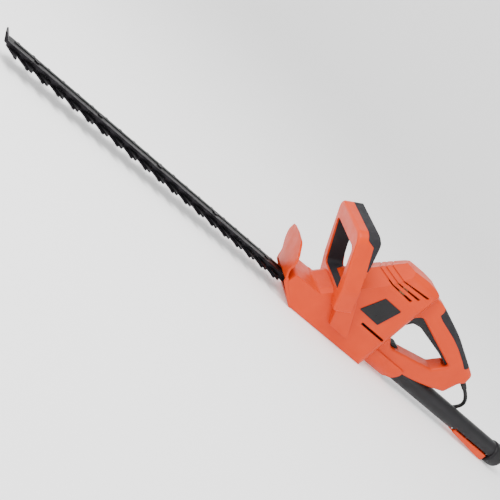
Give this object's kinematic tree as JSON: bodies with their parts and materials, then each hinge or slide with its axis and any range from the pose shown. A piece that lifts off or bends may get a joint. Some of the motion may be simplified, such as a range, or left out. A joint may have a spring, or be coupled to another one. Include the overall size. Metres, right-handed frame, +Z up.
{
  "type": "hedge trimmer",
  "caption": "Corded hedge trimmer with double-sided reciprocating blades, loop front handle, D rear handle with trigger, and a plug-in pole grip.",
  "frame": {"origin": "on the flat underside of the body, at mid width, about under the front of the motor", "axes": "+X along the blade to its tip, +Y to the tool's left, +Z up"},
  "size_m": [1.1467, 0.1569, 0.1855],
  "materials": {
    "orange_shell": "fine spark texture",
    "black_shell": "fine spark texture",
    "soft_grip": "matt, cross-hatched",
    "black_tube": "satin",
    "blade_steel": "blackened, ground edges",
    "bar_metal": "black coated",
    "zinc_steel": "zinc plated",
    "cast_case": "as cast",
    "laminations": "varnished",
    "copper": "enamelled wire",
    "inner_plastic": "satin",
    "carbon": "matt",
    "sintered": "oiled",
    "badge": "satin film",
    "cord_rubber": "matt",
    "nickel": "bright",
    "trigger_black": "satin",
    "pole_metal": "extruded"
  },
  "bodies": {
    "housing": {"left_housing": "orange_shell", "right_housing": "orange_shell", "housing_screws": "zinc_steel", "hand_guard": "orange_shell", "side_badges": "badge", "rear_grip_pad": "soft_grip", "bottom_cover": "orange_shell", "gearcase": "cast_case", "gearcase_screws": "zinc_steel", "guide_bar": "bar_metal", "blade_bolts": "zinc_steel", "blade_nuts": "zinc_steel", "crank_bushes": "sintered", "front_handle_shell": "orange_shell", "front_handle_back": "soft_grip", "front_handle_screws": "zinc_steel", "front_switch": "inner_plastic", "switch_bar_springs": "zinc_steel", "stator_core": "laminations", "stator_windings": "copper", "motor_bearings": "zinc_steel", "brush_holders": "sintered", "carbon_brushes": "carbon", "trigger_switch": "inner_plastic", "capacitor": "inner_plastic", "cord_clamp": "inner_plastic", "cord_sleeve": "cord_rubber", "inner_cord": "cord_rubber", "pole_socket": "orange_shell", "trigger_pin": "zinc_steel", "trigger_spring": "zinc_steel", "release_spring": "zinc_steel", "power_cord": "cord_rubber", "plug_body": "cord_rubber", "plug_pins": "nickel"},
    "crank": {"drive_gear": "zinc_steel", "crank_shaft": "zinc_steel"},
    "upper_rod": {"upper_rod": "zinc_steel"},
    "lower_rod": {"lower_rod": "zinc_steel"},
    "rotor": {"rotor_shaft": "zinc_steel", "rotor_core": "laminations", "rotor_windings": "copper", "commutator": "copper", "fan": "inner_plastic", "pinion": "zinc_steel"},
    "upper_blade": {"upper_blade": "blade_steel"},
    "lower_blade": {"lower_blade": "blade_steel"},
    "trigger": {"trigger": "trigger_black"},
    "switch_bar": {"front_switch_bar": "trigger_black"},
    "pole": {"pole_tube": "pole_metal", "pole_grip": "black_tube", "pole_pommel": "black_tube", "pole_switch": "inner_plastic", "lever_pin": "zinc_steel", "lever_spring": "zinc_steel"},
    "paddle": {"paddle_lever": "orange_shell"},
    "slider": {"release_slider": "trigger_black"}
  },
  "joints": [
    {"name": "crank_spin", "type": "hinge", "parent": "housing", "child": "crank", "pos_m": [-0.01, 0, 0.021], "axis": [0, 0, 1], "continuous": true},
    {"name": "rotor_spin", "type": "hinge", "parent": "housing", "child": "rotor", "pos_m": [-0.046, 0, 0.08], "axis": [0, 0, 1], "continuous": true},
    {"name": "upper_rod_turn", "type": "hinge", "parent": "crank", "child": "upper_rod", "pos_m": [-0.002, 0, 0.028], "axis": [0, 0, 1], "continuous": true},
    {"name": "lower_rod_turn", "type": "hinge", "parent": "crank", "child": "lower_rod", "pos_m": [-0.018, 0, 0.014], "axis": [0, 0, 1], "continuous": true},
    {"name": "upper_blade_slide", "type": "slide", "parent": "housing", "child": "upper_blade", "axis": [1, 0, 0], "range_m": [-0.016, 0]},
    {"name": "lower_blade_slide", "type": "slide", "parent": "housing", "child": "lower_blade", "axis": [1, 0, 0], "range_m": [0, 0.016]},
    {"name": "trigger_press", "type": "hinge", "parent": "housing", "child": "trigger", "pos_m": [-0.224, 0, 0.0985], "axis": [0, -1, 0], "range_deg": [0, 5], "stiffness_Nm_per_rad": 3, "springref_deg": -3.44, "deforming": ["trigger_spring"]},
    {"name": "switch_bar_press", "type": "slide", "parent": "housing", "child": "switch_bar", "axis": [0.5225, 0, 0.8526], "range_m": [0, 0.0035], "stiffness_N_per_m": 1500, "springref_m": -0.002, "deforming": ["switch_bar_springs"]},
    {"name": "pole_slide", "type": "slide", "parent": "housing", "child": "pole", "axis": [-1, 0, 0], "range_m": [0, 0.08]},
    {"name": "paddle_press", "type": "hinge", "parent": "pole", "child": "paddle", "pos_m": [-0.3425, 0, 0.0138], "axis": [0, 1, 0], "range_deg": [0, 2], "stiffness_Nm_per_rad": 3, "springref_deg": -2.29, "deforming": ["lever_spring"]},
    {"name": "slider_pull", "type": "slide", "parent": "housing", "child": "slider", "axis": [-1, 0, 0], "range_m": [0, 0.005], "stiffness_N_per_m": 800, "springref_m": -0.002, "deforming": ["release_spring"]}
  ],
  "couplings": [
    {"joint": "rotor_spin", "follows": "crank_spin", "ratio": -5},
    {"joint": "upper_rod_turn", "follows": "crank_spin", "ratio": -1},
    {"joint": "lower_rod_turn", "follows": "crank_spin", "ratio": -1},
    {"joint": "lower_blade_slide", "follows": "upper_blade_slide", "ratio": -1}
  ]
}
